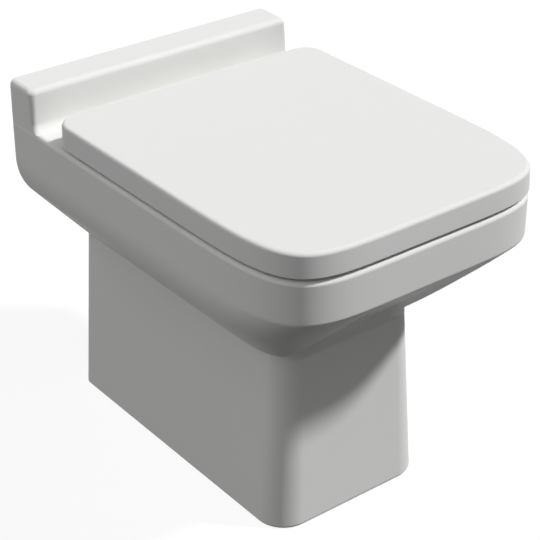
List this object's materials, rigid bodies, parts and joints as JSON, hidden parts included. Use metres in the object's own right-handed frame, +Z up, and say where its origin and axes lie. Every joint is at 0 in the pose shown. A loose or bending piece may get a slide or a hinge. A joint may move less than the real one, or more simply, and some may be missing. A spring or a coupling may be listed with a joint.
{
  "type": "back to wall toilet",
  "caption": "Back to wall toilet in white china: raised rail along the wall, square-fronted bowl on a slim pedestal, and a wrap-over lid that hides the seat ring.",
  "frame": {"origin": "middle of the bounding box on the floor", "axes": "+Z up, -Y towards the front of the bowl, +Y towards the wall, +X to the right as seen from the front"},
  "size_m": [0.372, 0.52, 0.4484],
  "materials": {
    "china": "white glazed vitreous china",
    "duroplast": "polished white urea",
    "satin_metal": "satin die cast zinc",
    "stainless": "bright stainless steel",
    "dark_plastic": "moulded acetal",
    "pale_plastic": "moulded nylon",
    "pale_rubber": "soft moulded rubber",
    "dark_rubber": "moulded rubber"
  },
  "bodies": {
    "base": {"pan": "china", "inlet_seal": "dark_rubber", "hinge_post_left": "satin_metal", "hinge_post_right": "satin_metal", "hinge_plates": "stainless", "hinge_pin_left": "stainless", "hinge_pin_right": "stainless", "fixing_studs": "stainless", "stud_sleeves": "dark_rubber", "clamp_washers": "dark_rubber", "wing_nuts": "pale_plastic"},
    "lid_assembly": {"lid": "duroplast", "lid_damper": "dark_plastic", "lid_bush": "pale_plastic", "lid_buffers": "pale_rubber"},
    "seat_assembly": {"seat_ring": "duroplast", "seat_damper": "dark_plastic", "seat_bush": "pale_plastic", "seat_buffers": "pale_rubber"}
  },
  "joints": [
    {"name": "lid_hinge", "type": "hinge", "parent": "base", "child": "lid_assembly", "pos_m": [0, 0.1542, 0.413], "axis": [-1, 0, 0], "range_deg": [0, 98]},
    {"name": "seat_hinge", "type": "hinge", "parent": "base", "child": "seat_assembly", "pos_m": [0, 0.1542, 0.413], "axis": [-1, 0, 0], "range_deg": [0, 98]}
  ],
  "couplings": [
    {"joint": "seat_hinge", "follows": "lid_hinge", "ratio": 1}
  ]
}
